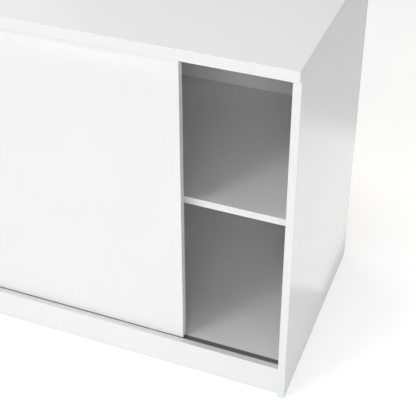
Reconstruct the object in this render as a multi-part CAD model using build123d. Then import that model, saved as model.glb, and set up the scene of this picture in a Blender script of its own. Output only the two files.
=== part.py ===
from build123d import *
import os

# Low cabinet for a television, with two by-passing sliding doors.
# Millimetres. Z up, front towards -Y, origin on the floor under the middle of the top panel.
# "Set-back" means the distance back from the top panel's front edge.

# ---------------------------------------------------------------- driving dimensions
WIDTH = 1180.0
HEIGHT = 753.0
DEPTH = 495.0
TOP_T = 22.0
BOARD = 15.0
OVERHANG = 12.5
ARRIS = 0.4
TOP_ARRIS = 0.5
FIT_GAP = 0.5
OVERCUT = 1.0

PLINTH_T = 12.0
PLINTH_TOP = 78.0
FLOOR_GAP = 10.0
TRACK_SLOT = 12.0
TRACK_SLOT_DEEP = 9.0

DOOR_W = 590.0
DOOR_BOTTOM = 79.6
DOOR_TOP = 727.0
DOOR_PLANE_GAP = 3.0
FRONT_DOOR_RIGHT = 370.2
BUMPER_T = 1.5
BUMPER_R = 4.0
BUMPER_GAP = 0.3
BUMPER_Z = (140.0, 660.0)

SHELF_TOP = 408.0
SHELF_BEHIND_DOOR = 3.0

BACK_T = 3.0
BACK_REBATE = 4.0
BACK_LAP = 8.0
BACK_TOP_LAP = 10.0
STRIP_HALF = 12.0
STRIP_T = 0.9
STRIP_WEB = 0.6

WHEEL_R = 15.0
WHEEL_W = 4.5
AXLE_R = 2.0
RUNNING_FIT = 0.05
ROLL_GAP = 0.1
CHEEK_T = 1.2
CHEEK_GAP = 0.3
HOUSING_L = 34.0
WHEEL_INSET = 70.0
FRONT_WHEEL_BACK = 0.5
MORTISE_OVER = 3.4

CABLE_HOLE_R = 30.0
GROMMET_R = 27.0
CABLE_HOLE_Z = 600.0
CABLE_HOLE_X = 290.0

# ---------------------------------------------------------------- worked-out planes
INNER_X = WIDTH / 2 - BOARD
MID_SIDE_X = WIDTH / 2 - BOARD / 2
UNDER_TOP = HEIGHT - TOP_T
FLOOR_Z = PLINTH_TOP
PANEL_UNDER = FLOOR_Z - BOARD
BAY_X = BOARD / 2
PLINTH_REAR = OVERHANG + PLINTH_T
FRONT_DOOR_S = PLINTH_REAR
REAR_DOOR_S = FRONT_DOOR_S + BOARD + DOOR_PLANE_GAP
SHELF_S = REAR_DOOR_S + BOARD + SHELF_BEHIND_DOOR
BACK_S = DEPTH - BACK_REBATE
REAR_DOOR_LEFT = -(INNER_X - BUMPER_T - BUMPER_GAP)
TRACK_FLOOR_T = 1.5
TRACK_WALL = 1.2
SLOT_BOTTOM = FLOOR_Z - TRACK_SLOT_DEEP
FRONT_WHEEL_Z = SLOT_BOTTOM + TRACK_FLOOR_T + ROLL_GAP + WHEEL_R
REAR_WHEEL_Z = FLOOR_Z + ROLL_GAP + WHEEL_R
FRONT_WHEEL_S = PLINTH_REAR + TRACK_SLOT / 2 + FRONT_WHEEL_BACK
REAR_WHEEL_S = REAR_DOOR_S + BOARD / 2


# ---------------------------------------------------------------- helpers
def slab(x0, x1, s0, s1, z0, z1):
    """A plain block between two x values, two set-backs and two heights."""
    middle = ((x0 + x1) / 2, (s0 + s1) / 2 - DEPTH / 2, (z0 + z1) / 2)
    return Pos(*middle) * Box(x1 - x0, s1 - s0, z1 - z0)


def board(x0, x1, s0, s1, z0, z1, arris=ARRIS):
    """A block with every arris rounded."""
    block = slab(x0, x1, s0, s1, z0, z1)
    return fillet(block.edges(), arris)


def place(x, s, z, axis):
    """A location whose own +Z runs along a row axis, such as "+X" or "-Y"."""
    turns = {
        "+Z": (0, 0, 0),
        "-Z": (180, 0, 0),
        "+X": (0, 90, 0),
        "-X": (0, -90, 0),
        "+Y": (-90, 0, 0),
        "-Y": (90, 0, 0),
    }
    return Pos(x, s - DEPTH / 2, z) * Rot(*turns[axis])


def rod(x, s, z, axis, radius, length):
    """A round bar that starts at a point and runs along an axis."""
    bar = Cylinder(radius, length, align=(Align.CENTER, Align.CENTER, Align.MIN))
    return place(x, s, z, axis) * bar


def wood_screw(x, s, z, axis, length, shank_r=1.75, head_r=3.4, head_l=2.0):
    """A countersunk screw whose head starts at a point and whose tip runs along an axis."""
    outline = [
        (0, 0),
        (head_r, 0),
        (shank_r, head_l),
        (shank_r, length - 3 * shank_r),
        (0, length),
    ]
    face = make_face(Plane.XZ * Polyline(*outline, close=True))
    return place(x, s, z, axis) * revolve(face, Axis.Z)


def group(pieces):
    """Several separate solids as one node."""
    return Compound(children=list(pieces))


def less(shape, cutters):
    """A solid with the other solids taken out of it."""
    for cutter in cutters:
        shape = shape - cutter
    return shape


def save(name, shape):
    """Write one node."""
    export_step(shape, f"parts/{name}.step")


os.makedirs("parts", exist_ok=True)

# ---------------------------------------------------------------- joinery
DOWEL_R = 4.0
DOWEL_IN_BOARD = 20.0
DOWEL_IN_FACE = 10.0
CAM_R = 7.5
CAM_T = 12.5
CAM_REACH = 34.0
BOLT_R = 2.5
BOLT_IN_FACE = 11.0
CAM_SLOT = 1.6
CAM_SLOT_DEEP = 2.5


def dowel(x, s, z, axis):
    """A dowel that runs from inside one board's end into the other board's face."""
    start = {"+Z": (x, s, z - DOWEL_IN_BOARD), "+X": (x - DOWEL_IN_BOARD, s, z)}
    start["-X"] = (x + DOWEL_IN_BOARD, s, z)
    return rod(*start[axis], axis, DOWEL_R, DOWEL_IN_BOARD + DOWEL_IN_FACE)


def cam_bolt(x, s, z, axis):
    """A bolt from the middle of its cam, out of the board's end, into the other board's face."""
    start = {"+Z": (x, s, z - CAM_REACH), "+X": (x - CAM_REACH, s, z)}
    start["-X"] = (x + CAM_REACH, s, z)
    return rod(*start[axis], axis, BOLT_R, CAM_REACH + BOLT_IN_FACE)


def cam(x, s, z, axis):
    """A round cam with a cross recess in its face; its face is at the point, its body along axis."""
    low = (Align.CENTER, Align.CENTER, Align.MIN)
    body = Cylinder(CAM_R, CAM_T, align=low)
    body = body - Box(CAM_R, CAM_SLOT, CAM_SLOT_DEEP, align=low)
    body = body - Box(CAM_SLOT, CAM_R, CAM_SLOT_DEEP, align=low)
    return place(x, s, z, axis) * body


SIDE_CAM_S = (75.0, 430.0)
SIDE_DOWEL_S = (115.0, 390.0)
PARTITION_CAM_S = (110.0, 430.0)
PARTITION_DOWEL_S = (150.0, 390.0)
PARTITION_SCREW_S = (130.0, 400.0)
PARTITION_SCREW_L = 50.0
END_Z = PANEL_UNDER + BOARD / 2

dowels, bolts, cam_places = [], [], []
for side in (-1, 1):
    outward = "+X" if side > 0 else "-X"
    for s in SIDE_DOWEL_S:
        dowels.append(dowel(side * MID_SIDE_X, s, UNDER_TOP, "+Z"))
        dowels.append(dowel(side * INNER_X, s, END_Z, outward))
    for s in SIDE_CAM_S:
        bolts.append(cam_bolt(side * MID_SIDE_X, s, UNDER_TOP, "+Z"))
        cam_places.append((side * INNER_X, s, UNDER_TOP - CAM_REACH, outward))
        bolts.append(cam_bolt(side * INNER_X, s, END_Z, outward))
        cam_places.append((side * (INNER_X - CAM_REACH), s, PANEL_UNDER, "+Z"))
for s in PARTITION_DOWEL_S:
    dowels.append(dowel(0, s, UNDER_TOP, "+Z"))
for s in PARTITION_CAM_S:
    bolts.append(cam_bolt(0, s, UNDER_TOP, "+Z"))
    cam_places.append((BAY_X, s, UNDER_TOP - CAM_REACH, "-X"))
cams = [less(cam(*spot), [b for b in bolts if (cam(*spot) & b)]) for spot in cam_places]
cam_holes = [rod(*spot, CAM_R, CAM_T) for spot in cam_places]

partition_screws = [
    wood_screw(0, s, PANEL_UNDER, "+Z", PARTITION_SCREW_L, shank_r=2.5, head_r=5.0, head_l=3.0)
    for s in PARTITION_SCREW_S
]

# ---------------------------------------------------------------- plinth blocks and their screws
BLOCK_L = 40.0
BLOCK_H = 30.0
BLOCK_D = 28.0
BLOCK_ARRIS = 0.8
BLOCK_PITCH = 280.0
BLOCK_SCREW_X = 9.0
INTO_PLINTH = 8.0
INTO_PANEL = 10.0
UPRIGHT_INSET = 7.5
REAR_PLINTH_S = 470.0
END_BLOCK_X = INNER_X - BLOCK_L / 2

blocks, block_screws = [], []
for x in (-END_BLOCK_X, -BLOCK_PITCH, 0.0, BLOCK_PITCH, END_BLOCK_X):
    for plinth_face, sign, into_plinth in ((PLINTH_REAR, 1, "-Y"), (REAR_PLINTH_S, -1, "+Y")):
        free_face = plinth_face + sign * BLOCK_D
        s0, s1 = sorted((plinth_face, free_face))
        ends = (x - BLOCK_L / 2, x + BLOCK_L / 2)
        blocks.append(board(*ends, s0, s1, PANEL_UNDER - BLOCK_H, PANEL_UNDER, BLOCK_ARRIS))
        level_place = (x - BLOCK_SCREW_X, free_face, PANEL_UNDER - BLOCK_H / 2)
        block_screws.append(wood_screw(*level_place, into_plinth, BLOCK_D + INTO_PLINTH))
        upright_place = (x + BLOCK_SCREW_X, free_face - sign * UPRIGHT_INSET, PANEL_UNDER - BLOCK_H)
        block_screws.append(wood_screw(*upright_place, "+Z", BLOCK_H + INTO_PANEL))
blocks = [less(one, block_screws) for one in blocks]

# ---------------------------------------------------------------- back panel and its nails
NAIL_R = 0.7
NAIL_HEAD_R = 1.9
NAIL_HEAD_T = 0.5
NAIL_L = 17.0
BACK_REAR = BACK_S + BACK_T
SIDE_NAIL_X = INNER_X + BACK_LAP / 2
TOP_NAIL_Z = UNDER_TOP + BACK_TOP_LAP / 2
SIDE_NAIL_Z = (110.0, 230.0, 350.0, 470.0, 590.0, 700.0)
LEVEL_NAIL_X = (70.0, 180.0, 290.0, 400.0, 510.0)


def nail(x, z):
    """A round-headed nail through the back, its head on the back's rear face."""
    shank = rod(x, BACK_REAR, z, "-Y", NAIL_R, NAIL_L)
    head = rod(x, BACK_REAR + NAIL_HEAD_T, z, "-Y", NAIL_HEAD_R, NAIL_HEAD_T)
    return shank + head


nails = []
for side in (-1, 1):
    nails += [nail(side * SIDE_NAIL_X, z) for z in SIDE_NAIL_Z]
    nails += [nail(side * x, z) for x in LEVEL_NAIL_X for z in (TOP_NAIL_Z, END_Z)]

strip = slab(-STRIP_HALF, STRIP_HALF, BACK_REAR, BACK_REAR + STRIP_T, PANEL_UNDER, UNDER_TOP)
strip_web = slab(-STRIP_WEB / 2, STRIP_WEB / 2, BACK_S, BACK_REAR, PANEL_UNDER, UNDER_TOP)
back_joining_strip = strip + strip_web

FLANGE_T = 1.5
FLANGE_OVER = 4.0
BARREL_PROUD = 0.8


def back_half(side):
    """One half of the hardboard back, with a round cable hole."""
    inner, outer = STRIP_WEB / 2, INNER_X + BACK_LAP - FIT_GAP
    x0, x1 = sorted((side * inner, side * outer))
    half = slab(x0, x1, BACK_S, BACK_REAR, PANEL_UNDER, UNDER_TOP + BACK_TOP_LAP - FIT_GAP)
    hole_start = (side * CABLE_HOLE_X, BACK_S - OVERCUT, CABLE_HOLE_Z)
    hole = rod(*hole_start, "+Y", CABLE_HOLE_R, BACK_T + 2 * OVERCUT)
    return less(half - hole, [n for n in nails if n.center().X * side > 0])


def cable_grommet(side):
    """A plastic ring that lines the cable hole, with a flange inside the cabinet."""
    start = (side * CABLE_HOLE_X, BACK_S - FLANGE_T, CABLE_HOLE_Z)
    length = FLANGE_T + BACK_T + BARREL_PROUD
    barrel = rod(*start, "+Y", CABLE_HOLE_R, length)
    flange = rod(*start, "+Y", CABLE_HOLE_R + FLANGE_OVER, FLANGE_T)
    bore = rod(*start, "+Y", GROMMET_R, length)
    return barrel + flange - bore


# ---------------------------------------------------------------- shelf pins
PIN_R = 2.5
PIN_HEAD_R = 3.5
PIN_IN_BOARD = 6.5
PIN_HEAD_L = 7.0
PIN_HOLE_DEEP = 7.0
PIN_S = (100.0, 440.0)
PIN_PITCH = 64.0
SHELF_UNDER = SHELF_TOP - BOARD
PIN_Z = SHELF_UNDER - PIN_HEAD_R
PIN_HOLE_Z = (PIN_Z - PIN_PITCH, PIN_Z, PIN_Z + PIN_PITCH)


def shelf_pin(face_x, s, into):
    """A pin pushed into a board's face, with a thicker head that the shelf lies on."""
    out_of = "-X" if into == "+X" else "+X"
    peg = rod(face_x, s, PIN_Z, into, PIN_R, PIN_IN_BOARD)
    head = rod(face_x, s, PIN_Z, out_of, PIN_HEAD_R, PIN_HEAD_L)
    return peg + head


def pin_holes(face_x, into):
    """The three rows of holes, one in use, that let the shelf stand at three heights."""
    return [rod(face_x, s, z, into, PIN_R, PIN_HOLE_DEEP) for s in PIN_S for z in PIN_HOLE_Z]


def bay_pins(side):
    """The four pins of one bay's shelf."""
    outward, inward = ("+X", "-X") if side > 0 else ("-X", "+X")
    pins = [shelf_pin(side * INNER_X, s, outward) for s in PIN_S]
    return pins + [shelf_pin(side * BAY_X, s, inward) for s in PIN_S]


# ---------------------------------------------------------------- door tracks and guides
FIN_T = 1.5
GLIDE_PROUD = 0.3
GLIDE_GAP = 0.3
GLIDE_L = 40.0
GLIDE_H = 9.0
GLIDE_ARRIS = 0.5
WEB_T = 1.5
FIN_BOTTOM = UNDER_TOP - 10.0
GUIDE_GAP = 0.6
TRACK_SCREW_L = 12.0
TRACK_SCREW_X = (-520.0, -260.0, 0.0, 260.0, 520.0)


def door_channel(plane):
    """The set-backs between which a door's top glides run."""
    side_room = GLIDE_PROUD + GLIDE_GAP
    return plane - side_room, plane + BOARD + side_room


channels = (door_channel(FRONT_DOOR_S), door_channel(REAR_DOOR_S))
track_x = INNER_X - FIT_GAP
track_screws = [
    wood_screw(x, sum(channel) / 2, UNDER_TOP - WEB_T, "+Z", TRACK_SCREW_L, 1.5, 2.9, 1.5)
    for channel in channels
    for x in TRACK_SCREW_X
]
top_track = slab(
    -track_x, track_x, channels[0][0] - FIN_T, channels[1][1] + FIN_T, FIN_BOTTOM, UNDER_TOP
)
for channel in channels:
    top_track -= slab(-WIDTH, WIDTH, *channel, FIN_BOTTOM - OVERCUT, UNDER_TOP - WEB_T)
top_track = less(top_track, track_screws)

bottom_track = slab(
    -track_x, track_x, PLINTH_REAR, PLINTH_REAR + TRACK_SLOT, SLOT_BOTTOM, FLOOR_Z - FIT_GAP
)
bottom_track -= slab(
    -WIDTH,
    WIDTH,
    PLINTH_REAR + TRACK_WALL,
    PLINTH_REAR + TRACK_SLOT - TRACK_WALL,
    SLOT_BOTTOM + TRACK_FLOOR_T,
    FLOOR_Z,
)

# A small angle between the two doors, pegged into the bottom panel at the middle of the cabinet.
GUIDE_HALF = 12.0
GUIDE_T = 1.2
GUIDE_FIN_T = 1.6
GUIDE_FIN_H = 14.0
GUIDE_FRONT = 37.2
GUIDE_REAR = REAR_DOOR_S - GUIDE_GAP
GUIDE_PEG_S = 40.0
GUIDE_PEG_X = 8.0
GUIDE_PEG_R = 1.3
GUIDE_PEG_L = 8.0
guide_pegs = [
    rod(x, GUIDE_PEG_S, FLOOR_Z, "-Z", GUIDE_PEG_R, GUIDE_PEG_L) for x in (-GUIDE_PEG_X, GUIDE_PEG_X)
]
guide_span = (-GUIDE_HALF, GUIDE_HALF)
rear_door_guide = slab(*guide_span, GUIDE_FRONT, GUIDE_REAR, FLOOR_Z, FLOOR_Z + GUIDE_T)
rear_door_guide += slab(*guide_span, GUIDE_REAR - GUIDE_FIN_T, GUIDE_REAR, FLOOR_Z, FLOOR_Z + GUIDE_FIN_H)
rear_door_guide = rear_door_guide + guide_pegs[0] + guide_pegs[1]

# A block on the partition's front edge that the rear door slides along.
RUB_HALF = 5.5
RUB_Z = (84.0, 124.0)
RUB_ROUND = 0.5
rub_front = REAR_DOOR_S + BOARD + GUIDE_GAP
partition_glide = board(-RUB_HALF, RUB_HALF, rub_front, SHELF_S, *RUB_Z, RUB_ROUND)

bumpers = [
    rod(side * INNER_X, s + BOARD / 2, z, "-X" if side > 0 else "+X", BUMPER_R, BUMPER_T)
    for side in (-1, 1)
    for s in (FRONT_DOOR_S, REAR_DOOR_S)
    for z in BUMPER_Z
]

# ---------------------------------------------------------------- boards of the carcass
top_panel = board(-WIDTH / 2, WIDTH / 2, 0, DEPTH, UNDER_TOP, HEIGHT, TOP_ARRIS)
top_rebate_x = INNER_X + BACK_LAP
rebate_z = (UNDER_TOP - OVERCUT, UNDER_TOP + BACK_TOP_LAP)
top_panel -= slab(-top_rebate_x, top_rebate_x, BACK_S, DEPTH + OVERCUT, *rebate_z)
top_panel = less(top_panel, dowels + bolts + track_screws + nails)


def side_panel(side):
    """An end of the cabinet, from the floor to the top panel, rebated for the back."""
    x0, x1 = sorted((side * INNER_X, side * WIDTH / 2))
    panel = board(x0, x1, OVERHANG, DEPTH, 0, UNDER_TOP)
    r0, r1 = sorted((side * (INNER_X - OVERCUT), side * (INNER_X + BACK_LAP)))
    panel -= slab(r0, r1, BACK_S, DEPTH + OVERCUT, PANEL_UNDER, UNDER_TOP + OVERCUT)
    mine = [p for p in dowels + bolts + cam_holes + nails if p.center().X * side > INNER_X - CAM_REACH]
    return less(panel, mine + pin_holes(side * INNER_X, "+X" if side > 0 else "-X"))


centre_partition = board(-BAY_X, BAY_X, SHELF_S, BACK_S, FLOOR_Z, UNDER_TOP)
centre_partition = less(
    centre_partition,
    [p for p in dowels + bolts + cam_holes + partition_screws if abs(p.center().X) < BOARD]
    + pin_holes(BAY_X, "-X")
    + pin_holes(-BAY_X, "+X"),
)

bottom_panel = board(-INNER_X, INNER_X, PLINTH_REAR, BACK_S, PANEL_UNDER, FLOOR_Z)
bottom_panel -= slab(
    -WIDTH, WIDTH, PLINTH_REAR - OVERCUT, PLINTH_REAR + TRACK_SLOT, SLOT_BOTTOM, FLOOR_Z + OVERCUT
)
low_fixings = dowels + bolts + cam_holes + partition_screws + block_screws + nails + guide_pegs
bottom_panel = less(bottom_panel, [p for p in low_fixings if p.center().Z < FLOOR_Z + BOARD])

plinth_front = board(-INNER_X, INNER_X, OVERHANG, PLINTH_REAR, FLOOR_GAP, PLINTH_TOP)
plinth_front = less(plinth_front, [p for p in block_screws if p.center().Y < 0])
plinth_rear = board(-INNER_X, INNER_X, REAR_PLINTH_S, REAR_PLINTH_S + BOARD, FLOOR_GAP, PANEL_UNDER)
plinth_rear = less(plinth_rear, [p for p in block_screws if p.center().Y > 0])


def shelf(side):
    """A loose shelf that lies on its four pins."""
    x0, x1 = sorted((side * (BAY_X + FIT_GAP), side * (INNER_X - FIT_GAP)))
    return board(x0, x1, SHELF_S, BACK_S - FIT_GAP, SHELF_UNDER, SHELF_TOP)


# ---------------------------------------------------------------- doors and their rollers
HOUSING_W = WHEEL_W + 2 * (CHEEK_T + CHEEK_GAP)
HOUSING_ROOF_T = 1.8
POCKET_HALF = WHEEL_R + 0.6
TYRE_ROUND = 0.8
RIM_T = 2.4
HUB_WALL = 2.2
DISH_DEEP = 0.7
WEB_HOLES = 5
WEB_HOLE_R = 2.6
WEB_HOLE_RING_R = 9.0


def wheel_x(left_edge):
    """The two wheel centres of a door, from its left edge."""
    return left_edge + WHEEL_INSET, left_edge + DOOR_W - WHEEL_INSET


def wheel(x, s, z):
    """A roller with rounded rims, a hub that stands out of a dished web, and holes in the web."""
    disc = fillet(Cylinder(WHEEL_R, WHEEL_W).edges(), TYRE_ROUND)
    recess = Cylinder(WHEEL_R - RIM_T, 2 * DISH_DEEP) - Cylinder(AXLE_R + HUB_WALL, 2 * DISH_DEEP)
    for face in (WHEEL_W / 2, -WHEEL_W / 2):
        disc -= Pos(0, 0, face) * recess
    for i in range(WEB_HOLES):
        turn = Rot(0, 0, 360 / WEB_HOLES * i)
        disc -= turn * Pos(WEB_HOLE_RING_R, 0, 0) * Cylinder(WEB_HOLE_R, WHEEL_W)
    disc -= Cylinder(AXLE_R + RUNNING_FIT, 2 * WHEEL_W)
    return place(x, s, z, "+Y") * disc


def axle(x, s, z):
    """A pin across the housing, through both cheeks."""
    return rod(x, s - HOUSING_W / 2, z, "+Y", AXLE_R, HOUSING_W)


def housing(x, s, z):
    """A case let into the door's lower edge: two cheeks, two ends and a roof over the wheel."""
    roof = z + WHEEL_R + MORTISE_OVER
    half = HOUSING_L / 2
    block = slab(x - half, x + half, s - HOUSING_W / 2, s + HOUSING_W / 2, DOOR_BOTTOM, roof)
    pocket_w = WHEEL_W / 2 + CHEEK_GAP
    pocket_z = (DOOR_BOTTOM - OVERCUT, roof - HOUSING_ROOF_T)
    block -= slab(x - POCKET_HALF, x + POCKET_HALF, s - pocket_w, s + pocket_w, *pocket_z)
    return block - axle(x, s, z)


def mortise(x, s, z):
    """The room that a housing takes in the door's lower edge."""
    half = HOUSING_L / 2
    roof = z + WHEEL_R + MORTISE_OVER
    return slab(x - half, x + half, s - HOUSING_W / 2, s + HOUSING_W / 2, DOOR_BOTTOM - OVERCUT, roof)


def top_glides(left_edge, plane):
    """Two blocks at the door's top corners, a little thicker than the door, that run in the track."""
    starts = (left_edge, left_edge + DOOR_W - GLIDE_L)
    s0, s1 = plane - GLIDE_PROUD, plane + BOARD + GLIDE_PROUD
    return [board(x, x + GLIDE_L, s0, s1, DOOR_TOP - GLIDE_H, DOOR_TOP, GLIDE_ARRIS) for x in starts]


def door_panel(left_edge, plane, wheel_s, wheel_z):
    """A door's board, notched for its glides and mortised for its roller housings."""
    panel = board(left_edge, left_edge + DOOR_W, plane, plane + BOARD, DOOR_BOTTOM, DOOR_TOP)
    notch_s = (plane - OVERCUT, plane + BOARD + OVERCUT)
    for x in (left_edge - OVERCUT, left_edge + DOOR_W - GLIDE_L):
        panel -= slab(x, x + GLIDE_L + OVERCUT, *notch_s, DOOR_TOP - GLIDE_H, DOOR_TOP + OVERCUT)
    return less(panel, [mortise(x, wheel_s, wheel_z) for x in wheel_x(left_edge)])


def save_door(name, left_edge, plane, wheel_s, wheel_z):
    """A door with its glides, roller housings, axles and two wheels."""
    centres = wheel_x(left_edge)
    save(f"{name}_door_panel", door_panel(left_edge, plane, wheel_s, wheel_z))
    save(f"{name}_door_top_glides", group(top_glides(left_edge, plane)))
    save(f"{name}_roller_housings", group(housing(x, wheel_s, wheel_z) for x in centres))
    save(f"{name}_roller_axles", group(axle(x, wheel_s, wheel_z) for x in centres))
    for end, x in zip(("left", "right"), centres):
        save(f"{name}_{end}_wheel", wheel(x, wheel_s, wheel_z))


# ---------------------------------------------------------------- middle foot
FOOT_S = 270.0
LEG_R = 20.0
PAD_R = 24.0
PAD_ROUND = 1.5
foot_leg = rod(0, FOOT_S, FLOOR_GAP, "+Z", LEG_R, PANEL_UNDER - FLOOR_GAP)
foot_pad = fillet(rod(0, FOOT_S, 0, "+Z", PAD_R, FLOOR_GAP).edges(), PAD_ROUND)

# ---------------------------------------------------------------- written nodes
save("top_panel", top_panel)
save("left_side_panel", side_panel(-1))
save("right_side_panel", side_panel(1))
save("centre_partition", centre_partition)
save("bottom_panel", bottom_panel)
save("plinth_front", plinth_front)
save("plinth_rear", plinth_rear)
save("plinth_blocks", group(blocks))
save("plinth_block_screws", group(block_screws))
save("left_shelf", shelf(-1))
save("right_shelf", shelf(1))
save("left_shelf_pins", group(bay_pins(-1)))
save("right_shelf_pins", group(bay_pins(1)))
save("left_back_panel", back_half(-1))
save("right_back_panel", back_half(1))
save("back_joining_strip", back_joining_strip)
save("back_panel_nails", group(nails))
save("left_cable_grommet", cable_grommet(-1))
save("right_cable_grommet", cable_grommet(1))
save("dowels", group(dowels))
save("cam_bolts", group(bolts))
save("cam_locks", group(cams))
save("partition_screws", group(partition_screws))
save("top_track", top_track)
save("top_track_screws", group(track_screws))
save("bottom_track", bottom_track)
save("rear_door_guide", rear_door_guide)
save("partition_glide", partition_glide)
save("door_bumpers", group(bumpers))
save("middle_foot_leg", foot_leg)
save("middle_foot_pad", foot_pad)
save_door("front", FRONT_DOOR_RIGHT - DOOR_W, FRONT_DOOR_S, FRONT_WHEEL_S, FRONT_WHEEL_Z)
save_door("rear", REAR_DOOR_LEFT, REAR_DOOR_S, REAR_WHEEL_S, REAR_WHEEL_Z)
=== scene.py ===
import bpy
import math
import numpy as np
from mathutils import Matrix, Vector


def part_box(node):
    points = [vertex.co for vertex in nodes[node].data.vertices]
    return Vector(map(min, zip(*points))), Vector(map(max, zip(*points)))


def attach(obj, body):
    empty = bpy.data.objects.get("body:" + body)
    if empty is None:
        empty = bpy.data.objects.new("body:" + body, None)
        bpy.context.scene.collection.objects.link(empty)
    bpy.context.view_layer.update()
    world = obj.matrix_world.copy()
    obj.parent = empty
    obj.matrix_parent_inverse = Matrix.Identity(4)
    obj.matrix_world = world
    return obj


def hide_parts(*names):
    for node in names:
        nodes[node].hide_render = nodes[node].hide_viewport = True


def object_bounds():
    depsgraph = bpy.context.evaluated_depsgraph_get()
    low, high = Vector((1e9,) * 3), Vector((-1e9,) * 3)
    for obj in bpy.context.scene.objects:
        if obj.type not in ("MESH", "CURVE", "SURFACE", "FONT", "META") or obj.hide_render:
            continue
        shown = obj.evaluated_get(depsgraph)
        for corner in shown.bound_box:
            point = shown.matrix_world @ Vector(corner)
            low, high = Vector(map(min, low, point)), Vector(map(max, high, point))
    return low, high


# A low white cabinet for a television. Metres, Z up, front towards -Y.

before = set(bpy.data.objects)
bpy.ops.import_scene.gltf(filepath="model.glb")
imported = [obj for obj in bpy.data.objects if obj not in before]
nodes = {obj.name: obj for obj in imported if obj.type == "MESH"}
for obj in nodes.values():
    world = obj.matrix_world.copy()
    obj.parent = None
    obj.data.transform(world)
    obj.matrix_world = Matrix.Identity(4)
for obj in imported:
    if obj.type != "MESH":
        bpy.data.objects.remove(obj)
cad_low, cad_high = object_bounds()
scene = bpy.context.scene


# ================================================================ shader helpers
def new_finish(name):
    """An empty material with its surface shader: returns the material, its tree and the shader."""
    finish = bpy.data.materials.new(name)
    finish.use_nodes = True
    tree = finish.node_tree
    return finish, tree, tree.nodes["Principled BSDF"]


def add(tree, kind, inputs=None, **settings):
    """One shader node. Inputs are constants or other nodes' outputs, by socket name or number."""
    made = tree.nodes.new(kind)
    for key, value in settings.items():
        setattr(made, key, value)
    for key, value in (inputs or {}).items():
        if isinstance(value, bpy.types.NodeSocket):
            tree.links.new(value, made.inputs[key])
        else:
            made.inputs[key].default_value = value
    return made


def math_node(tree, operation, a, b=0.0):
    return add(tree, "ShaderNodeMath", {0: a, 1: b}, operation=operation).outputs[0]


def mix_colour(tree, factor, a, b):
    """Colour a where factor is 0, colour b where it is 1."""
    made = add(tree, "ShaderNodeMix", data_type="RGBA")
    for socket, value in ((0, factor), (6, a), (7, b)):
        if isinstance(value, bpy.types.NodeSocket):
            tree.links.new(value, made.inputs[socket])
        else:
            made.inputs[socket].default_value = value
    return made.outputs[2]


def colour(r, g, b):
    return (r, g, b, 1.0)


def object_place(tree, scale=(1, 1, 1)):
    """Object coordinates, stretched along the axes."""
    place = add(tree, "ShaderNodeTexCoord").outputs["Object"]
    return add(tree, "ShaderNodeMapping", {"Vector": place, "Scale": scale}).outputs[0]


def noise(tree, place, scale, detail=3.0, roughness=0.5):
    settings = {"Vector": place, "Scale": scale, "Detail": detail, "Roughness": roughness}
    return add(tree, "ShaderNodeTexNoise", settings).outputs[0]


def remap(tree, value, source=(0.0, 1.0), target=(0.0, 1.0)):
    """A value carried evenly from one range to another, and held at the range's ends."""
    settings = {0: value, 1: source[0], 2: source[1], 3: target[0], 4: target[1]}
    return add(tree, "ShaderNodeMapRange", settings).outputs[0]


def two_tone(tree, value, dark, pale, source):
    """Dark below a range of values, pale above it, and blended between."""
    ramp = add(tree, "ShaderNodeValToRGB", {0: value})
    for element, tone, position in zip(ramp.color_ramp.elements, (dark, pale), source):
        element.color = colour(*tone)
        element.position = position
    return ramp.outputs[0]


def shade(tone, share):
    """A colour made darker or lighter, no channel above 1."""
    return colour(*[min(1.0, channel * share) for channel in tone])


def bump(tree, shader, heights):
    """Bumps, one after another: each height is (socket, strength, depth in metres)."""
    normal = None
    for height, strength, depth in heights:
        settings = {"Height": height, "Strength": strength, "Distance": depth}
        if normal is not None:
            settings["Normal"] = normal
        normal = add(tree, "ShaderNodeBump", settings).outputs[0]
    tree.links.new(normal, shader.inputs["Normal"])


def between(tree, value, low, high, soft=0.00005):
    """1 where value lies between low and high, else 0, with a soft step."""
    up = remap(tree, value, (low - soft, low + soft))
    down = remap(tree, value, (high + soft, high - soft))
    return math_node(tree, "MULTIPLY", up, down)


def any_of(tree, masks):
    """The largest of several masks."""
    total = masks[0]
    for mask in masks[1:]:
        total = math_node(tree, "MAXIMUM", total, mask)
    return total


# ================================================================ finishes
def chip_colour(tree):
    """Cut particle board: pale and dark flakes pressed together. Returns colour and height."""
    place = object_place(tree)
    flakes = add(tree, "ShaderNodeTexVoronoi", {"Vector": place, "Scale": 420.0, "Randomness": 1.0})
    grain = noise(tree, place, scale=900.0, detail=4.0, roughness=0.6)
    height = flakes.outputs["Distance"]
    tone = math_node(tree, "ADD", math_node(tree, "MULTIPLY", height, 0.9), grain)
    tone = math_node(tree, "MULTIPLY", tone, 0.62)
    chips = two_tone(tree, tone, dark=(0.20, 0.115, 0.055), pale=(0.66, 0.50, 0.31), source=(0.22, 0.72))
    return chips, height


BAND_T = 0.0008
GLUE_LINE_T = 0.00018
RAW_FACE_T = 0.00004
OUTSIDE = 1.0
WHITE = (0.86, 0.86, 0.862)
BAND_WHITE = (0.84, 0.842, 0.85)
GLUE_LINE = (0.42, 0.40, 0.37)
MESH_PITCH = 0.0016
LACQUER_T = 0.0004


def depth_inside(tree, parts, low, high, side):
    """How far a point lies inside one side of a box. A side is an axis and a sign."""
    axis, sign = side
    k = "XYZ".index(axis)
    edge = high[k] if sign > 0 else low[k]
    return math_node(tree, "MULTIPLY", math_node(tree, "SUBTRACT", edge, parts[k]), float(sign))


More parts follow.
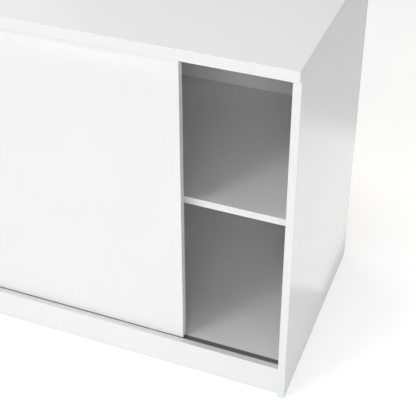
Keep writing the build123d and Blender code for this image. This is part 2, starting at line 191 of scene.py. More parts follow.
def melamine(name, node, banded, raw):
    """White melamine on particle board.

    A side is an axis and a sign, such as ("Y", -1). A banded side has a strip whose glue line shows
    on the broad face just inside the arris, and a raw side shows the cut particle board.
    """
    low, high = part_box(node)
    finish, tree, shader = new_finish(name)
    place = add(tree, "ShaderNodeTexCoord").outputs["Object"]
    parts = add(tree, "ShaderNodeSeparateXYZ", {0: place}).outputs

    cloud = noise(tree, place, scale=5.0, detail=2.0)
    pearl = noise(tree, place, scale=1400.0, detail=2.0, roughness=0.4)
    tint = remap(tree, cloud, (0.3, 0.7))
    base = mix_colour(tree, tint, shade(WHITE, 0.985), colour(*WHITE))

    edges, lines = [], []
    for side in banded:
        depth = depth_inside(tree, parts, low, high, side)
        edges.append(between(tree, depth, -OUTSIDE, BAND_T))
        lines.append(between(tree, depth, BAND_T, BAND_T + GLUE_LINE_T, 0.00003))
    if banded:
        band = math_node(tree, "MULTIPLY", any_of(tree, edges), 0.35)
        line = math_node(tree, "MULTIPLY", any_of(tree, lines), 0.4)
        base = mix_colour(tree, band, base, colour(*BAND_WHITE))
        base = mix_colour(tree, line, base, colour(*GLUE_LINE))

    rough = remap(tree, pearl, (0.25, 0.75), (0.24, 0.28))
    heights = [(pearl, 0.04, 0.00004)]
    if raw:
        depths = [depth_inside(tree, parts, low, high, side) for side in raw]
        bare = any_of(tree, [between(tree, depth, -OUTSIDE, RAW_FACE_T, 0.00002) for depth in depths])
        chips, chip_height = chip_colour(tree)
        base = mix_colour(tree, bare, base, chips)
        rough = math_node(tree, "MAXIMUM", rough, math_node(tree, "MULTIPLY", bare, 0.9))
        heights.append((math_node(tree, "MULTIPLY", chip_height, bare), 0.5, 0.0006))
    tree.links.new(base, shader.inputs["Base Color"])
    tree.links.new(rough, shader.inputs["Roughness"])
    shader.inputs["IOR"].default_value = 1.5
    shader.inputs["Specular IOR Level"].default_value = 0.5
    bump(tree, shader, heights)
    return finish


def hardboard(name, node):
    """Thin hardboard: white lacquer on its front, brown fibre with a mesh print on its back."""
    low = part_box(node)[0]
    finish, tree, shader = new_finish(name)
    place = add(tree, "ShaderNodeTexCoord").outputs["Object"]
    parts = add(tree, "ShaderNodeSeparateXYZ", {0: place}).outputs
    front = between(tree, parts[1], low.y - OUTSIDE, low.y + LACQUER_T)
    back = math_node(tree, "SUBTRACT", 1.0, front)

    fibre = noise(tree, place, scale=650.0, detail=5.0, roughness=0.65)
    patch = math_node(tree, "MULTIPLY", noise(tree, place, scale=14.0), 0.14)
    tone = math_node(tree, "ADD", math_node(tree, "MULTIPLY", fibre, 0.86), patch)
    brown = two_tone(tree, tone, dark=(0.19, 0.112, 0.058), pale=(0.37, 0.235, 0.13), source=(0.35, 0.68))
    cloud = noise(tree, place, scale=7.0)
    lacquer = mix_colour(tree, cloud, colour(0.92, 0.92, 0.92), colour(0.94, 0.94, 0.938))
    tree.links.new(mix_colour(tree, front, brown, lacquer), shader.inputs["Base Color"])
    tree.links.new(remap(tree, front, target=(0.85, 0.42)), shader.inputs["Roughness"])

    waves = []
    for k in (0, 2):
        turn = math_node(tree, "MULTIPLY", parts[k], 2 * math.pi / MESH_PITCH)
        waves.append(add(tree, "ShaderNodeMath", {0: turn}, operation="SINE").outputs[0])
    mesh = math_node(tree, "MULTIPLY", waves[0], waves[1])
    heights = [
        (math_node(tree, "MULTIPLY", mesh, back), 0.35, 0.00025),
        (math_node(tree, "MULTIPLY", fibre, back), 0.4, 0.0004),
        (noise(tree, place, scale=1100.0), 0.04, 0.00008),
    ]
    bump(tree, shader, heights)
    return finish


def plastic(name, tint, rough=0.4, grain=1300.0, grain_bump=0.08, streak=None):
    """Moulded or extruded plastic. A streak is the stretch of the drawing lines along one axis."""
    finish, tree, shader = new_finish(name)
    place = object_place(tree)
    cloud = noise(tree, place, scale=30.0, detail=2.0)
    fine = noise(tree, place, scale=grain)
    base = mix_colour(tree, cloud, shade(tint, 0.94), shade(tint, 1.04))
    tree.links.new(base, shader.inputs["Base Color"])
    heights = [(fine, grain_bump, 0.00008)]
    spread = fine
    if streak:
        spread = noise(tree, object_place(tree, scale=streak), scale=1.0, detail=4.0)
        heights.append((spread, 0.06, 0.00008))
    roughness = remap(tree, spread, (0.3, 0.7), (rough - 0.06, rough + 0.06))
    tree.links.new(roughness, shader.inputs["Roughness"])
    shader.inputs["IOR"].default_value = 1.49
    bump(tree, shader, heights)
    return finish


def zinc(name, tint, rough):
    """Zinc-plated or die-cast metal: a dull sheen with small spangles and rub marks."""
    finish, tree, shader = new_finish(name)
    place = object_place(tree)
    cell = add(tree, "ShaderNodeTexVoronoi", {"Vector": place, "Scale": 700.0}).outputs["Color"]
    spangle = add(tree, "ShaderNodeSeparateColor", {0: cell}).outputs[0]
    rub = noise(tree, place, scale=220.0, detail=5.0, roughness=0.6)
    base = mix_colour(tree, spangle, shade(tint, 0.86), colour(*tint))
    tree.links.new(base, shader.inputs["Base Color"])
    roughness = remap(tree, rub, (0.3, 0.7), (rough - 0.08, rough + 0.10))
    tree.links.new(roughness, shader.inputs["Roughness"])
    shader.inputs["Metallic"].default_value = 1.0
    bump(tree, shader, [(rub, 0.12, 0.0001)])
    return finish


def wood(name, pale, dark, along, ring=90.0):
    """Bare wood: growth rings stretched along one axis, pores and a soft patchy tone."""
    stretch = {"X": (0.06, 1, 1), "Z": (1, 1, 0.06)}[along]
    finish, tree, shader = new_finish(name)
    place = object_place(tree, scale=stretch)
    bend = noise(tree, place, scale=18.0)
    settings = {"Vector": place, "Scale": ring, "Distortion": 5.0, "Detail": 3.0}
    rings = add(tree, "ShaderNodeTexWave", settings).outputs[1]
    pores = noise(tree, place, scale=1500.0, roughness=0.6)
    patch = math_node(tree, "MULTIPLY", bend, 0.4)
    tone = math_node(tree, "ADD", math_node(tree, "MULTIPLY", rings, 0.6), patch)
    base = mix_colour(tree, tone, colour(*dark), colour(*pale))
    base = mix_colour(tree, math_node(tree, "MULTIPLY", pores, 0.35), base, shade(dark, 0.7))
    tree.links.new(base, shader.inputs["Base Color"])
    tree.links.new(remap(tree, pores, target=(0.55, 0.8)), shader.inputs["Roughness"])
    bump(tree, shader, [(pores, 0.25, 0.0002), (rings, 0.1, 0.0003)])
    return finish


def dress(node, finish):
    """A CAD node gets its finish."""
    nodes[node].data.materials.clear()
    nodes[node].data.materials.append(finish)


# ================================================================ dressing the CAD nodes
FRONT, REAR = ("Y", -1), ("Y", 1)
LEFT, RIGHT = ("X", -1), ("X", 1)
BELOW, ABOVE = ("Z", -1), ("Z", 1)
boards = {
    "top_panel": ((FRONT, LEFT, RIGHT), (REAR,)),
    "left_side_panel": ((FRONT, BELOW), (REAR,)),
    "right_side_panel": ((FRONT, BELOW), (REAR,)),
    "centre_partition": ((FRONT,), (REAR,)),
    "bottom_panel": ((), (FRONT, REAR)),
    "plinth_front": ((ABOVE, BELOW), (LEFT, RIGHT)),
    "plinth_rear": ((), (LEFT, RIGHT, BELOW)),
    "left_shelf": ((FRONT,), (LEFT, RIGHT, REAR)),
    "right_shelf": ((FRONT,), (LEFT, RIGHT, REAR)),
    "front_door_panel": ((LEFT, RIGHT, ABOVE, BELOW), ()),
    "rear_door_panel": ((LEFT, RIGHT, ABOVE, BELOW), ()),
}
for node, (banded, raw) in boards.items():
    dress(node, melamine(f"melamine_{node}", node, banded, raw))
for node in ("left_back_panel", "right_back_panel"):
    dress(node, hardboard(f"hardboard_{node}", node))

DRAWN_ALONG_X = (2.0, 900.0, 900.0)
DRAWN_ALONG_Z = (900.0, 900.0, 2.0)
grey_track = plastic("grey_track_extrusion", (0.215, 0.215, 0.219), 0.45, streak=DRAWN_ALONG_X)
white_track = plastic("white_track_extrusion", (0.80, 0.80, 0.80), 0.42, streak=DRAWN_ALONG_X)
white_strip = plastic("white_joining_strip", (0.78, 0.78, 0.775), 0.45, streak=DRAWN_ALONG_Z)
nylon = plastic("white_nylon", (0.80, 0.80, 0.785), 0.34)
black_plastic = plastic("black_foot_plastic", (0.03, 0.03, 0.032), 0.5, grain=900.0, grain_bump=0.2)
soft_dot = plastic("soft_bumper", (0.72, 0.74, 0.74), 0.22)
soft_dot.node_tree.nodes["Principled BSDF"].inputs["Transmission Weight"].default_value = 0.4
bright_zinc = zinc("bright_zinc_steel", (0.72, 0.73, 0.75), 0.30)
dull_zinc = zinc("die_cast_zinc", (0.55, 0.55, 0.54), 0.42)
beech = wood("beech_dowel", (0.66, 0.47, 0.29), (0.47, 0.30, 0.17), "Z")
softwood = wood("softwood_block", (0.70, 0.50, 0.29), (0.50, 0.31, 0.15), "X", ring=55.0)

dress("top_track", white_track)
dress("plinth_blocks", softwood)
for door in ("front", "rear"):
    dress(f"{door}_door_top_glides", nylon)
    dress(f"{door}_roller_housings", nylon)
    dress(f"{door}_left_wheel", nylon)
    dress(f"{door}_right_wheel", nylon)


# ================================================================ surfaces worked out on grids
MM = 0.001
SHARP_ANGLE = math.radians(38)
AXES = {
    "+Z": ((1, 0, 0), (0, 1, 0), (0, 0, 1)),
    "-Z": ((1, 0, 0), (0, -1, 0), (0, 0, -1)),
    "+X": ((0, 0, -1), (0, 1, 0), (1, 0, 0)),
    "-X": ((0, 0, 1), (0, 1, 0), (-1, 0, 0)),
    "+Y": ((1, 0, 0), (0, 0, -1), (0, 1, 0)),
    "-Y": ((1, 0, 0), (0, 0, 1), (0, -1, 0)),
}


def seat(grid, start, axis):
    """A shape made in millimetres along its own +Z, set to run from a point along a row axis."""
    return np.asarray(start, float) + grid @ np.array(AXES[axis], float) * MM


def turned(radius, height, points=24):
    """Rings about +Z: the point at angle a is (radius cos a, radius sin a, height).

    Radius and height hold one value a ring, or one value for each point of each ring.
    """
    angle = np.arange(points) * (2 * np.pi / points)
    shape = (len(radius), points)
    radius = np.broadcast_to(np.asarray(radius, float).reshape(len(radius), -1), shape)
    height = np.broadcast_to(np.asarray(height, float).reshape(len(height), -1), shape)
    return np.stack([radius * np.cos(angle), radius * np.sin(angle), height], -1)


def skin(name, grids, finish, body, stands_for, loop=False):
    """One piece from several closed skins, each a grid of (ring, point in the ring, xyz).

    Every ring is closed. The two end rings are each shut by one face, or joined when loop is set.
    """
    places, faces, start = [], [], 0
    for grid in grids:
        rings, points = grid.shape[:2]
        last = rings if loop else rings - 1
        i, j = np.meshgrid(np.arange(last), np.arange(points), indexing="ij")
        a = i * points + j
        b = i * points + (j + 1) % points
        c = (i + 1) % rings * points + (j + 1) % points
        d = (i + 1) % rings * points + j
        faces += (np.stack([a, b, c, d], -1).reshape(-1, 4) + start).tolist()
        if not loop:
            faces.append((start + np.arange(points)[::-1]).tolist())
            faces.append((start + (rings - 1) * points + np.arange(points)).tolist())
        places.append(grid.reshape(-1, 3))
        start += rings * points
    mesh = bpy.data.meshes.new(name)
    mesh.from_pydata(np.concatenate(places).tolist(), [], faces)
    mesh.polygons.foreach_set("use_smooth", np.ones(len(mesh.polygons), bool))
    mesh.set_sharp_from_angle(angle=SHARP_ANGLE)
    mesh.materials.append(finish)
    piece = bpy.data.objects.new(name, mesh)
    scene.collection.objects.link(piece)
    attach(piece, body)
    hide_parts(*stands_for)
    return piece


def solid_boxes(node):
    """The lowest and highest corner of each separate solid of a CAD node.

    Every corner starts with its own number. The corners of each triangle take the lowest number
    among them, again and again, until each solid holds a single number.
    """
    mesh = nodes[node].data
    points = np.empty(len(mesh.vertices) * 3, np.float32)
    mesh.vertices.foreach_get("co", points)
    points = points.reshape(-1, 3).astype(float)
    merged, spot = np.unique(np.round(points, 6), axis=0, return_inverse=True)
    loops = np.empty(len(mesh.loops), np.int32)
    mesh.loops.foreach_get("vertex_index", loops)
    corners = spot.ravel()[loops].reshape(-1, 3)
    label = np.arange(len(merged))
    while True:
        low = label[corners].min(1)
        new = label.copy()
        np.minimum.at(new, corners.ravel(), np.repeat(low, 3))
        new = new[new]
        if np.array_equal(new, label):
            break
        label = new
    return [(merged[label == k].min(0), merged[label == k].max(0)) for k in np.unique(label)]


def end_point(low, high, axis):
    """The middle of the end of a box from which an axis runs."""
    k = "XYZ".index(axis[1])
    point = (low + high) / 2
    point[k] = low[k] if axis[0] == "+" else high[k]
    return point


def span(low, high, axis):
    """A box's length along an axis, in millimetres."""
    return float((high - low)["XYZ".index(axis[1])] / MM)


def radius_of(low, high):
    """Half the middle side of a solid's box, in millimetres."""
    return float(np.sort(high - low)[1] / 2 / MM)


def square_outline(corners, rounds, steps=5):
    """A closed outline of right-angled corners, each rounded by a quarter circle.

    The arc at a corner P with unit directions a, back along the outline, and b, onward, is
    P + r (a + b) - r (b cos t + a sin t), with t from 0 to a quarter turn.
    """
    corners = np.asarray(corners, float)
    rounds = np.broadcast_to(np.asarray(rounds, float), (len(corners),))
    back = np.roll(corners, 1, 0) - corners
    onward = np.roll(corners, -1, 0) - corners
    back /= np.linalg.norm(back, axis=1, keepdims=True)
    onward /= np.linalg.norm(onward, axis=1, keepdims=True)
    t = np.linspace(0, np.pi / 2, steps)[None, :, None]
    r = rounds[:, None, None]
    a, b, p = back[:, None], onward[:, None], corners[:, None]
    return (p + r * (a + b) - r * (b * np.cos(t) + a * np.sin(t))).reshape(-1, 2)


def extrusion(outline, axis, low, high, insets=((0.0, 1.0),)):
    """An outline carried along X or Z: across X it holds (y, z), across Z it holds (x, y).

    Each inset is a distance from both ends and the share of its size that the outline has there.
    """
    middle = (outline.max(0) + outline.min(0)) / 2
    inset, share = np.array(insets, float).T
    along = np.concatenate([low + inset, high - inset[::-1]])
    share = np.concatenate([share, share[::-1]])
    flat = middle + (outline[None] - middle) * share[:, None, None]
    along = np.broadcast_to(along[:, None], flat.shape[:2])
    across = (flat[..., 0], flat[..., 1])
    order = (along, *across) if axis == "X" else (*across, along)
    return np.stack(order, -1)


def cross_recess(radius, points, reach, half_width, deep):
    """Depths of a cross-shaped recess on rings of the given radii.

    Inside an arm the smaller of |x| and |y| is under half_width and the larger under reach; the
    depth runs from 0 to full over a short slope at the arm's edge.
    """
    angle = np.arange(points) * (2 * np.pi / points)
    x = np.abs(radius[:, None] * np.cos(angle))
    y = np.abs(radius[:, None] * np.sin(angle))
    slope = half_width * 0.5
    across = np.clip((half_width - np.minimum(x, y)) / slope + 1, 0, 1)
    outward = np.clip((reach - np.maximum(x, y)) / slope, 0, 1)
    return deep * across * outward


# ================================================================ fasteners and fittings
# Lengths here are in millimetres. Where a function has z and size, z holds the heights of the rings
# and size holds the share of the radius that each ring has.
def ridge(z, pitch, points, narrow):
    """A thread's ridge from 0 to 1, for a column of heights and a row of points round the shank.

    It is max(0, 1 - narrow |2 f - 1|), where f is the part of a turn: z / pitch - angle / full turn.
    """
    part = np.mod(z / pitch - np.arange(points) / points, 1.0)
    return np.clip(1 - np.abs(2 * part - 1) * narrow, 0, 1)


def screw(length, shank, head, head_deep, pitch, points=20):
    """A countersunk screw from the face of its head to its point.

    The face has a cross recess, and the head falls by a cone to the shank. On the shank, whose
    crest is R, the radius is R (core + (1 - core) ridge). The ridge grows in over one pitch, and R
    shrinks evenly towards the point.
    """
    core, rows_a_turn, point_l = 0.74, 6, 3 * shank
    face = np.linspace(0.05, 0.96, 9) * head
    face_z = cross_recess(face, points, reach=head * 0.62, half_width=head * 0.13, deep=head_deep * 0.8)
    rim = np.array([head, head * 0.98])
    rim_z = np.array([0.12, 0.3])
    rows = max(2, int((length - head_deep) / pitch * rows_a_turn))
    z = np.linspace(head_deep, length, rows)[:, None]
    start = np.clip((z - head_deep) / pitch, 0, 1)
    taper = np.clip((length - z) / point_l, 0.04, 1)
    thread = shank * (core + (1 - core) * ridge(z, pitch, points, 1.6) * start) * taper
    flat = np.ones(points)
    radius = np.concatenate([face[:, None] * flat, rim[:, None] * flat, thread])
    height = np.concatenate([face_z, rim_z[:, None] * flat, z * flat])
    return turned(radius, height, points)


def nail(length, head, shank=0.7, head_t=0.5, points=12):
    """A nail from the top of its low domed head, with rings round the shank.

    The dome's height is 0.25 (r / R)^2. On the shank r = R (1 - 0.12 f), where f is the part of a
    ring's pitch that has gone by, and r shrinks evenly towards the point.
    """
    ring_pitch, plain_top, plain_end, point_l = 0.9, 3, 4, 2.2
    dome = np.linspace(0.1, 1, 5) * head
    dome_z = 0.25 * (dome / head) ** 2
    z = np.linspace(head_t, length, 44)
    tooth = 0.12 * np.mod(z / ring_pitch, 1.0) * (z > plain_top) * (z < length - plain_end)
    taper = np.clip((length - z) / point_l, 0.08, 1)
    radius = np.concatenate([dome, [head * 0.96], shank * (1 - tooth) * taper])
    height = np.concatenate([dome_z, [head_t], z])
    return turned(radius, height, points)


def dowel(length, radius, points=72, flutes=18):
    """A wooden peg: r = R (1 - 0.05 (0.5 + 0.5 cos(flutes * angle))^3), with chamfered ends."""
    angle = np.arange(points) * (2 * np.pi / points)
    groove = 1 - 0.05 * (0.5 + 0.5 * np.cos(flutes * angle)) ** 3
    z = np.array([0, 0.4, 1.4, length - 1.4, length - 0.4, length])
    size = np.array([0.62, 0.8, 1, 1, 0.8, 0.62])
    return turned(size[:, None] * radius * groove, z, points)


def cam_bolt(length, radius, points=24):
    """A bolt: a ball end that the cam grips, a thin neck, a plain shank, then a coarse thread.

    The ball is (R sin t, R (1 - cos t)), and the thread's radius is R (core + (1 - core) ridge).
    """
    core, pitch, thread_l = 0.72, 1.8, 11
    t = np.linspace(0.15, 0.82, 8) * np.pi
    neck = np.array([0.62, 0.62, 1.0, 1.0]) * radius
    neck_z = np.array([5.4, 8.2, 9.0, length - thread_l - 0.6])
    z = np.linspace(length - thread_l, length, 48)[:, None]
    taper = np.clip((length - z) / 2.5, 0.5, 1)
    thread = radius * (core + (1 - core) * ridge(z, pitch, points, 1.4)) * taper
    plain = np.concatenate([radius * np.sin(t), neck])
    plain_z = np.concatenate([radius * (1 - np.cos(t)), neck_z])
    flat = np.ones(points)
    rings = np.concatenate([plain[:, None] * flat, thread])
    return turned(rings, np.concatenate([plain_z[:, None] * flat, z * flat]), points)


def cam_lock(length, radius, points=72):
    """A drum with a cross recess and a raised rim on its face, and a waist between two flanges.

    It is turned: each ring's radius is R times its size.
    """
    sunk = 0.35
    face = np.linspace(0.03, 0.86, 18) * radius
    face_z = sunk + cross_recess(face, points, reach=radius * 0.6, half_width=radius * 0.12, deep=2.6)
    z = np.array([sunk, 0.06, 0, 0.2, 2.4, 2.6, 3.4, 9.0, 9.8, length - 0.3, length])
    size = np.array([0.9, 0.94, 0.985, 1, 1, 0.985, 0.83, 0.83, 1, 1, 0.96])
    flat = np.ones(points)
    rings = np.concatenate([face[:, None] * flat, size[:, None] * radius * flat])
    return turned(rings, np.concatenate([face_z, z[:, None] * flat]), points)


def shelf_pin(length, head, peg=2.5, head_l=7.0):
    """A stepped pin: a domed head with one groove, a collar against the board, a chamfered peg.

    It is turned: a ring's radius is its size times the head's radius, or the peg's past the head.
    """
    head_z = [0, 0.15, 0.5, 1.1, 4.0, 4.3, 4.9, 5.2, head_l - 0.02, head_l]
    head_size = np.array([0.5, 0.78, 0.93, 1, 1, 0.92, 0.92, 1, 1, 0.86])
    peg_z = [head_l + 0.2, length - 0.9, length]
    peg_size = np.array([1, 1, 0.7])
    radius = np.concatenate([head_size * head, peg_size * peg])
    return turned(radius, np.array(head_z + peg_z), 32)


def bumper(height, radius):
    """A soft dot: r = R cos(t)^0.55 and z = H sin(t), with t from 0 to nearly a quarter turn."""
    t = np.linspace(0, 0.47, 10) * np.pi
    return turned(radius * np.cos(t) ** 0.55, height * np.sin(t), 32)


def axle(length, radius):
    """A pin with chamfered, slightly domed ends, turned: each ring's radius is R times its size."""
    z = np.array([0, 0.06, 0.35, length - 0.35, length - 0.06, length])
    size = np.array([0.35, 0.78, 1, 1, 0.78, 0.35])
    return turned(size * radius, z, 28)


def grommet(length, flange, bore=27.0, flange_t=1.5):
    """A cable ring as a closed profile turned about its axis.

    The flange has a rounded lip and a shallow groove, and the barrel has a snap rib at its end.
    """
    barrel = flange - 4
    profile = np.array([
        (bore + 0.5, 0),
        (barrel - 0.4, 0),
        (barrel + 0.1, 0.25),
        (barrel + 1.0, 0.25),
        (barrel + 1.5, 0),
        (flange - 0.9, 0),
        (flange - 0.35, 0.12),
        (flange - 0.08, 0.4),
        (flange, 0.8),
        (flange - 0.1, flange_t - 0.15),
        (flange - 0.3, flange_t),
        (barrel, flange_t),
        (barrel - 0.25, flange_t + 0.3),
        (barrel - 0.25, length - 0.9),
        (barrel, length - 0.7),
        (barrel - 0.1, length - 0.3),
        (barrel - 0.6, length),
        (bore + 0.45, length),
        (bore + 0.12, length - 0.15),
        (bore, length - 0.5),
        (bore, 0.55),
        (bore + 0.12, 0.15),
    ])
    return turned(profile[:, 0], profile[:, 1], 128)


def foot_leg(length, radius, points=120, ribs=10):
    """A ribbed leg: between its end collars r = R (1 - 0.09 (0.5 - 0.5 cos(ribs a))^0.4)."""
    angle = np.arange(points) * (2 * np.pi / points)
    flute = 0.09 * (0.5 - 0.5 * np.cos(ribs * angle)) ** 0.4
    lower, upper = [0, 0.4, 3.6, 4.4, 6.0], [6.0, 4.6, 4.0, 0.4, 0]
    z = np.array(lower + [length - d for d in upper])
    size = np.array([0.975, 1, 1, 0.97, 0.96, 0.96, 0.97, 1, 1, 0.98])
    depth = np.array([0, 0, 0, 0.6, 1, 1, 0.6, 0, 0, 0])
    return turned(size[:, None] * radius * (1 - depth[:, None] * flute), z, points)


def foot_pad(length, radius, points=144, grips=24):
    """A screw-down pad: its rim is scalloped by r = R (1 - 0.025 |cos(grips a / 2)|)."""
    angle = np.arange(points) * (2 * np.pi / points)
    scallop = 0.025 * np.abs(np.cos(grips * angle / 2))
    z = np.array([0, 0, 0.2, 0.8, 1.6, length - 1.8, length - 0.9, length - 0.2, length, length])
    size = np.array([0.5, 0.92, 0.955, 0.985, 1, 1, 0.99, 0.95, 0.9, 0.5])
    depth = np.array([0, 0, 0, 0.3, 1, 1, 0.4, 0, 0, 0])
    return turned(size[:, None] * radius * (1 - depth[:, None] * scallop), z, points)


def fit_out(name, node, shape, axis_of, finish, body="cabinet", loop=False):
    """One piece for a node of like solids: shape(length, radius) is set at the end of each solid.

    The axis is one for all the solids, such as "+Z", or a function of a solid's box.
    """
    grids = []
    for low, high in solid_boxes(node):
        axis = axis_of if isinstance(axis_of, str) else axis_of(low, high)
        shaped = shape(span(low, high, axis), radius_of(low, high))
        grids.append(seat(shaped, end_point(low, high, axis), axis))
    return skin(name, grids, finish, body, (node,), loop)


def longest(low, high):
    """The letter of a box's longest side."""
    return "XYZ"[int(np.argmax(high - low))]


def outward(value):
    """The sign that points away from the cabinet's middle."""
    return "+" if value > 0 else "-"


def dowel_axis(low, high):
    """A dowel's two ends are alike, so it starts at its low end."""
    return "+" + longest(low, high)


def block_screw_axis(low, high):
    """Upright screws point up, and level ones point out through the block into the plinth."""
    return "+Z" if longest(low, high) == "Z" else outward(low[1]) + "Y"


def bolt_axis(low, high):
    """The ball end is the lower end, or the end nearer the cabinet's middle."""
    return "+Z" if longest(low, high) == "Z" else outward(low[0] + high[0]) + "X"


def cam_axis(low, high):
    """A cam's face is on the board's inner side, or under the bottom panel."""
    if "XYZ"[int(np.argmin(high - low))] == "Z":
        return "+Z"
    return "-X" if abs(high[0]) < CAM_NEAR_MIDDLE else outward(low[0]) + "X"


def pin_axis(low, high):
    """A shelf pin points into the side board or, near the cabinet's middle, into the partition."""
    toward_side = abs(low[0] + high[0]) / 2 > PINS_PART
    return outward(low[0] if toward_side else -low[0]) + "X"


def inward_axis(low, high):
    """A bumper points from its side board towards the cabinet's middle."""
    return outward(-low[0]) + "X"


CAM_NEAR_MIDDLE = 0.1
PINS_PART = 0.3


def partition_screw(length, head):
    return screw(length, shank=2.5, head=head, head_deep=3.0, pitch=2.2, points=28)


def block_screw(length, head):
    return screw(length, shank=1.75, head=head, head_deep=2.0, pitch=1.9)


def track_screw(length, head):
    return screw(length, shank=1.5, head=head, head_deep=1.5, pitch=1.4)


fit_out("partition_screws_threaded", "partition_screws", partition_screw, "+Z", bright_zinc)
fit_out("plinth_block_screws_threaded", "plinth_block_screws",
        block_screw, block_screw_axis, bright_zinc)
fit_out("top_track_screws_threaded", "top_track_screws", track_screw, "+Z", bright_zinc)
fit_out("back_panel_ring_nails", "back_panel_nails", nail, "-Y", bright_zinc)
fit_out("fluted_dowels", "dowels", dowel, dowel_axis, beech)
fit_out("cam_bolts_turned", "cam_bolts", cam_bolt, bolt_axis, bright_zinc)
fit_out("cam_locks_cast", "cam_locks", cam_lock, cam_axis, dull_zinc)
for side in ("left", "right"):
    fit_out(f"{side}_shelf_pins_turned", f"{side}_shelf_pins", shelf_pin, pin_axis, bright_zinc)
    fit_out(f"{side}_cable_ring", f"{side}_cable_grommet", grommet, "+Y", nylon, loop=True)
fit_out("door_bumper_dots", "door_bumpers", bumper, inward_axis, soft_dot)
for door in ("front", "rear"):
    fit_out(f"{door}_roller_pins", f"{door}_roller_axles", axle, "+Y", bright_zinc, f"{door}_door")
fit_out("middle_foot_ribbed_leg", "middle_foot_leg", foot_leg, "+Z", black_plastic)
fit_out("middle_foot_grip_pad", "middle_foot_pad", foot_pad, "+Z", black_plastic)


def floor_track():
    """The grey channel that the front door's rollers run in: a U with rounded lips, along X."""
    low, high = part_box("bottom_track")
    y0, y1, z0, z1 = low.y, high.y, low.z, high.z
    wall, floor_t = 1.2 * MM, 1.5 * MM
    corners = [
        (y0, z0), (y1, z0), (y1, z1), (y1 - wall, z1), (y1 - wall, z0 + floor_t),
        (y0 + wall, z0 + floor_t), (y0 + wall, z1), (y0, z1),
    ]
    rounds = np.array([0.3, 0.3, 0.5, 0.5, 0.6, 0.6, 0.5, 0.5]) * MM
    grid = extrusion(square_outline(corners, rounds), "X", low.x, high.x)
    skin("floor_track_channel", [grid], grey_track, "cabinet", ("bottom_track",))


def back_strip():
    """The strip that joins the halves of the back: a T of web and rear flange, carried along Z."""
    low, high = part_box("back_joining_strip")
    web, flange_t = 0.3 * MM, 0.9 * MM
    corners = [
        (-web, low.y), (web, low.y), (web, high.y - flange_t), (high.x, high.y - flange_t),
        (high.x, high.y), (low.x, high.y), (low.x, high.y - flange_t), (-web, high.y - flange_t),
    ]
    rounds = np.array([0.1, 0.1, 0.1, 0.3, 0.5, 0.5, 0.3, 0.1]) * MM
    grid = extrusion(square_outline(corners, rounds), "Z", low.z, high.z)
    stands_for = ("back_joining_strip",)
    skin("back_strip_extruded", [grid], white_strip, "cabinet", stands_for)


def centre_guide():
    """The angle between the doors: an L of foot and fin carried along X, and two turned pegs."""
    low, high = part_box("rear_door_guide")
    fin_h, fin_t, foot_t = 14 * MM, 1.6 * MM, 1.2 * MM
    peg_r, peg_x, peg_in = 1.3, 8 * MM, 2.8 * MM
    foot_z = high.z - fin_h
    corners = [
        (low.y, foot_z), (high.y, foot_z), (high.y, high.z),
        (high.y - fin_t, high.z), (high.y - fin_t, foot_z + foot_t), (low.y, foot_z + foot_t),
    ]
    rounds = np.array([0.2, 0.2, 0.7, 0.7, 0.8, 0.5]) * MM
    ends = ((0.0, 0.93), (0.15 * MM, 0.97), (0.5 * MM, 1.0))
    angle = extrusion(square_outline(corners, rounds), "X", low.x, high.x, ends)
    peg_l = (foot_z - low.z) / MM
    peg_z = np.array([0, peg_l - 1.2, peg_l - 0.4, peg_l])
    peg = turned(np.array([peg_r, peg_r, 1.15, 0.8]), peg_z, 20)
    pegs = [seat(peg, (x, low.y + peg_in, foot_z), "-Z") for x in (-peg_x, peg_x)]
    skin("centre_guide_moulded", [angle] + pegs, nylon, "cabinet", ("rear_door_guide",))


def rub_block():
    """The low block on the partition's front edge: an oblong rounded towards the rear door.

    It is carried along Z and shrinks at both ends by the shares in ends.
    """
    low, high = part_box("partition_glide")
    corners = [(low.x, low.y), (high.x, low.y), (high.x, high.y), (low.x, high.y)]
    outline = square_outline(corners, np.array([1.2, 1.2, 0.2, 0.2]) * MM, 7)
    ends = ((0.0, 0.82), (0.2 * MM, 0.91), (0.6 * MM, 0.97), (1.2 * MM, 1.0))
    grid = extrusion(outline, "Z", low.z, high.z, ends)
    skin("partition_rub_block", [grid], nylon, "cabinet", ("partition_glide",))


floor_track()
back_strip()
centre_guide()
rub_block()


# ================================================================ floor, lights and camera
def grid_sheet(name, half, z, steps=8):
    """A flat square sheet: x and y run evenly from -half to half, and z stays the same."""
    line = np.linspace(-half, half, steps + 1)
    u, v = np.meshgrid(line, line, indexing="ij")
    points = np.stack([u, v, np.full_like(u, z)], -1).reshape(-1, 3)
    i, j = np.meshgrid(np.arange(steps), np.arange(steps), indexing="ij")
    a = (i * (steps + 1) + j).ravel()
    quads = np.stack([a, a + steps + 1, a + steps + 2, a + 1], -1)
    mesh = bpy.data.meshes.new(name)
    mesh.from_pydata(points.tolist(), [], quads.tolist())
    sheet = bpy.data.objects.new(name, mesh)
    scene.collection.objects.link(sheet)
    return sheet


FLOOR_HALF = 6.0
FLOOR_BELOW = 0.0005
FLOOR_GLOW = 0.42


def floor_finish():
    """A pale matt studio floor, lit a little from within so that it stays near white."""
    finish, tree, shader = new_finish("studio_floor")
    place = object_place(tree)
    cloud = noise(tree, place, scale=3.0)
    tone = mix_colour(tree, cloud, colour(0.97, 0.97, 0.97), colour(0.985, 0.985, 0.985))
    tree.links.new(tone, shader.inputs["Base Color"])
    shader.inputs["Roughness"].default_value = 0.9
    shader.inputs["Specular IOR Level"].default_value = 0.0
    shader.inputs["Emission Color"].default_value = colour(1, 1, 1)
    shader.inputs["Emission Strength"].default_value = FLOOR_GLOW
    return finish


floor = grid_sheet("studio_floor", FLOOR_HALF, cad_low.z - FLOOR_BELOW)
floor.data.materials.append(floor_finish())


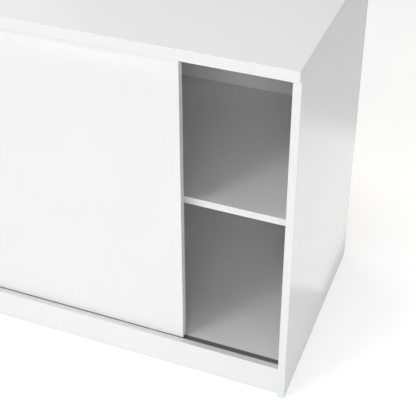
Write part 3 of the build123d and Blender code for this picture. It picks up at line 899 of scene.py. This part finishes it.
def soft_light(name, place, aim, size, power):
    """A rectangular area light at one point, facing another."""
    lamp = bpy.data.lights.new(name, "AREA")
    lamp.shape = "RECTANGLE"
    lamp.size, lamp.size_y = size
    lamp.energy = power
    holder = bpy.data.objects.new(name, lamp)
    scene.collection.objects.link(holder)
    holder.location = place
    holder.rotation_euler = (Vector(aim) - Vector(place)).to_track_quat("-Z", "Y").to_euler()
    return holder


for name, place, aim, size, power in (
    ("key_front_left", (-1.2, -2.6, 2.6), (0.2, 0.0, 0.4), (1.2, 1.2), 36.0),
    ("overhead", (0.0, 0.2, 3.4), (0.0, 0.1, 0.0), (2.4, 2.4), 68.0),
    ("low_front_right", (1.3, -3.2, 0.9), (0.3, 0.0, 0.4), (1.2, 0.8), 13.0),
    ("front_high", (0.4, -2.6, 2.6), (0.2, 0.0, 0.3), (1.4, 1.4), 7.5),
    ("front_right", (2.0, -3.0, 1.6), (0.1, 0.0, 0.4), (1.6, 1.6), 7.5),
    ("beside_camera", (0.9, -2.4, 1.7), (0.3, 0.0, 0.3), (1.0, 1.0), 4.0),
    ("right", (3.4, -0.4, 1.2), (0.5, 0.0, 0.3), (1.8, 1.8), 4.2),
    ("rear_left", (-2.4, 2.4, 2.4), (0.0, 0.0, 0.7), (1.8, 1.8), 5.0),
):
    soft_light(name, place, aim, size, power)

# Two low strips of light beside the right side, seen only as a soft sheen on its glossy face. Both
# start at the same place, and the shorter one ends sooner, so the sheen fades upwards in two steps.
SHEEN_NEAR = 0.07
for name, far, height, power in (("long_sheen", 0.79, 0.02, 1.2), ("short_sheen", 0.71, 0.03, 1.15)):
    middle = (SHEEN_NEAR + far) / 2
    sheen = soft_light(name, (1.6, middle, height), (1.6, middle, 1.0), (2.0, far - SHEEN_NEAR), power)
    sheen.visible_diffuse = False
    sheen.visible_camera = False

# The air gives almost no light. Where it is seen past the floor, it is as bright as the floor's
# far edge.
AIR_GLOW = 0.01
AIR_SEEN = 0.49
world = bpy.data.worlds.new("studio_air")
world.use_nodes = True
air = world.node_tree
glow = air.nodes["Background"]
glow.inputs["Color"].default_value = colour(1.0, 1.0, 1.0)
glow.inputs["Strength"].default_value = AIR_GLOW
backdrop = add(air, "ShaderNodeBackground", {"Color": colour(1.0, 1.0, 1.0), "Strength": AIR_SEEN})
seen = add(air, "ShaderNodeLightPath").outputs["Is Camera Ray"]
both = add(air, "ShaderNodeMixShader", {0: seen, 1: glow.outputs[0], 2: backdrop.outputs[0]})
air.links.new(both.outputs[0], air.nodes["World Output"].inputs["Surface"])
scene.world = world
scene.view_settings.view_transform = "Standard"
scene.view_settings.look = "None"

# The camera stands to the right of the front, above it, and looks down along the front.
EYE_FROM_CORNER = (0.35319, -1.32128, 0.75904)
LOOK_DOWN = 32.306
LOOK_LEFT = 21.149
ROLL = 0.03
LENS = 85.38
SHIFT_X = 0.00246
SHIFT_Y = -0.19747
eye = bpy.data.cameras.new("eye")
eye.lens = LENS
eye.sensor_width = 36.0
eye.shift_x = SHIFT_X
eye.shift_y = SHIFT_Y
eye.clip_start = 0.05
eye.clip_end = 100.0
stand = bpy.data.objects.new("eye", eye)
scene.collection.objects.link(stand)
corner = Vector((cad_high.x, cad_low.y, cad_high.z))
stand.location = corner + Vector(EYE_FROM_CORNER)
stand.rotation_euler = (math.radians(90 - LOOK_DOWN), math.radians(ROLL), math.radians(LOOK_LEFT))
scene.camera = stand
